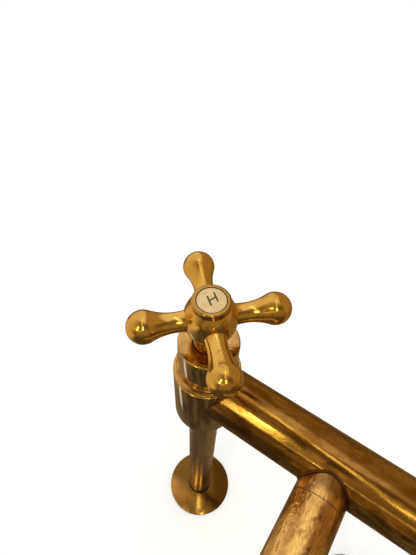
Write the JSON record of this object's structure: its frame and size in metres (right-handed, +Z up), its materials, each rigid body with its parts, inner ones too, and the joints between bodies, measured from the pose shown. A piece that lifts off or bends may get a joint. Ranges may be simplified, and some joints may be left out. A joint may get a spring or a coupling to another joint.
{
  "type": "bridge mixer tap with cross handles",
  "caption": "Deck-mounted brass bridge mixer tap with a cross handle on each valve, round enamel index discs, tall legs on round roses and a fixed soldered spout.",
  "frame": {"origin": "on the deck plane, midway between the two legs", "axes": "+X from the hot valve to the cold valve, the spout reaches towards -Y (the user), +Z up along the legs and valve axes"},
  "size_m": [0.2394, 0.1975, 0.4142],
  "materials": {
    "polished_brass": "polished and slightly aged",
    "aged_brass": "polished, with brown and coppery heat patches",
    "leg_brass": "pinkish, copper-toned tube",
    "tail_brass": "turned, unpolished",
    "plain_brass": "turned, unpolished",
    "enamel": "cream enamel, glossy",
    "rubber": "black rubber",
    "fibre": "red fibre sheet",
    "packing": "graphited packing"
  },
  "bodies": {
    "tap_body": {"hot_inlet_tail": "tail_brass", "hot_deck_washer": "rubber", "hot_slip_washer": "plain_brass", "hot_backnut": "plain_brass", "hot_leg_tube": "leg_brass", "hot_deck_rose": "polished_brass", "hot_valve_body": "polished_brass", "hot_headgear": "plain_brass", "hot_headgear_washer": "fibre", "hot_gland_packing": "packing", "hot_gland_nut": "polished_brass", "hot_shroud": "polished_brass", "cold_inlet_tail": "tail_brass", "cold_deck_washer": "rubber", "cold_slip_washer": "plain_brass", "cold_backnut": "plain_brass", "cold_leg_tube": "leg_brass", "cold_deck_rose": "polished_brass", "cold_valve_body": "polished_brass", "cold_headgear": "plain_brass", "cold_headgear_washer": "fibre", "cold_gland_packing": "packing", "cold_gland_nut": "polished_brass", "cold_shroud": "polished_brass", "bridge_tube": "aged_brass", "spout_stub": "aged_brass", "spout_tube": "aged_brass", "spout_nozzle": "polished_brass", "flow_straightener": "plain_brass"},
    "hot_valve": {"hot_jumper": "plain_brass", "hot_tap_washer": "rubber", "hot_washer_nut": "plain_brass"},
    "hot_handle": {"hot_spindle": "polished_brass", "hot_cross_handle": "polished_brass", "hot_handle_screw": "plain_brass", "hot_index_ring": "polished_brass", "hot_index_disc": "enamel"},
    "cold_valve": {"cold_jumper": "plain_brass", "cold_tap_washer": "rubber", "cold_washer_nut": "plain_brass"},
    "cold_handle": {"cold_spindle": "polished_brass", "cold_cross_handle": "polished_brass", "cold_handle_screw": "plain_brass", "cold_index_ring": "polished_brass", "cold_index_disc": "enamel"}
  },
  "joints": [
    {"name": "hot_handle_turn", "type": "hinge", "parent": "hot_valve", "child": "hot_handle", "pos_m": [-0.0875, 0, 0.333], "axis": [0, 0, 1], "range_deg": [0, 840]},
    {"name": "hot_valve_lift", "type": "slide", "parent": "tap_body", "child": "hot_valve", "axis": [0, 0, 1], "range_m": [0, 0.0056]},
    {"name": "cold_handle_turn", "type": "hinge", "parent": "cold_valve", "child": "cold_handle", "pos_m": [0.0875, 0, 0.333], "axis": [0, 0, 1], "range_deg": [0, 840]},
    {"name": "cold_valve_lift", "type": "slide", "parent": "tap_body", "child": "cold_valve", "axis": [0, 0, 1], "range_m": [0, 0.0056]}
  ],
  "couplings": [
    {"joint": "hot_valve_lift", "follows": "hot_handle_turn", "m_per_rad": 0.00038197},
    {"joint": "cold_valve_lift", "follows": "cold_handle_turn", "m_per_rad": 0.00038197}
  ]
}
